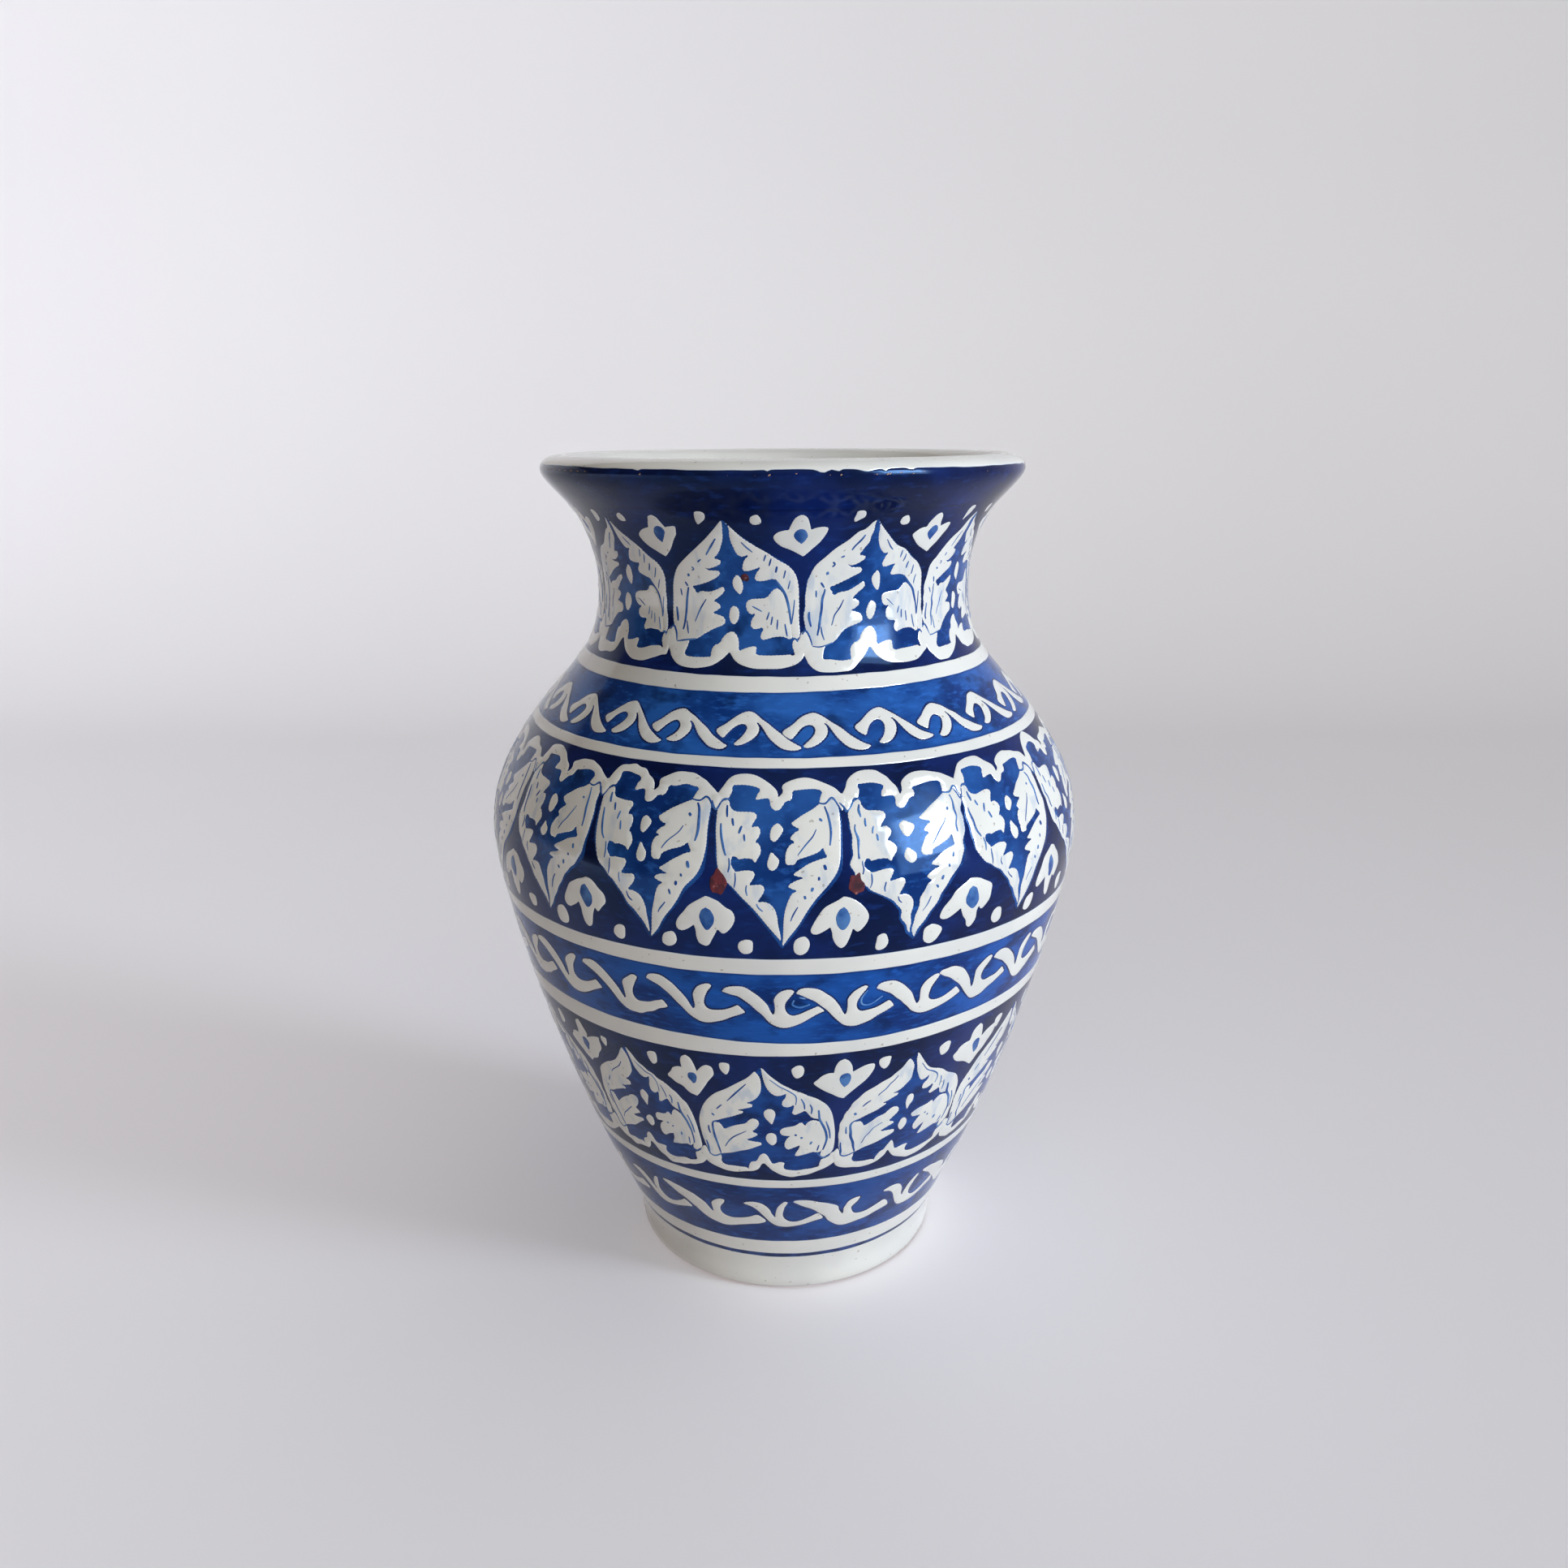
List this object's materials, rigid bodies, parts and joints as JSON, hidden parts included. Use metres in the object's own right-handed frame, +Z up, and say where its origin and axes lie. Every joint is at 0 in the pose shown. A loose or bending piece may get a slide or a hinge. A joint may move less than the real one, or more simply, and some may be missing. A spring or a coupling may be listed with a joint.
{
  "type": "vase",
  "caption": "Earthenware vase with a rolled lip, narrow neck, full belly and plain foot, glazed in bands of painted blue and white friezes and braids.",
  "frame": {"origin": "centre of the foot, on the table", "axes": "+Z up along the axis of the vase; -Y is the side taken as the front"},
  "size_m": [0.215, 0.215, 0.3],
  "materials": {
    "biscuit_clay": "matt unglazed earthenware",
    "inside_glaze": "glossy grey-white glaze",
    "white_glaze": "glossy off-white tin glaze with a faint speckle",
    "cobalt_glaze": "glossy dark cobalt, faintly mottled",
    "blue_glaze": "glossy mid blue with brush streaks"
  },
  "bodies": {
    "root": {"foot_ring": "biscuit_clay", "floor_slab": "biscuit_clay", "lower_wall": "biscuit_clay", "belly_wall": "biscuit_clay", "shoulder_wall": "biscuit_clay", "neck_wall": "biscuit_clay", "lip_roll": "biscuit_clay", "inside_glaze": "inside_glaze", "lip_glaze": "white_glaze", "rim_band": "cobalt_glaze", "neck_band": "cobalt_glaze", "shoulder_line": "white_glaze", "shoulder_braid": "blue_glaze", "upper_belly_line": "white_glaze", "belly_band": "cobalt_glaze", "lower_belly_line": "white_glaze", "waist_braid": "blue_glaze", "upper_base_line": "white_glaze", "base_band": "cobalt_glaze", "lower_base_line": "white_glaze", "foot_braid": "blue_glaze", "foot_line": "white_glaze", "foot_stripe": "blue_glaze", "foot_glaze": "white_glaze"}
  },
  "joints": []
}
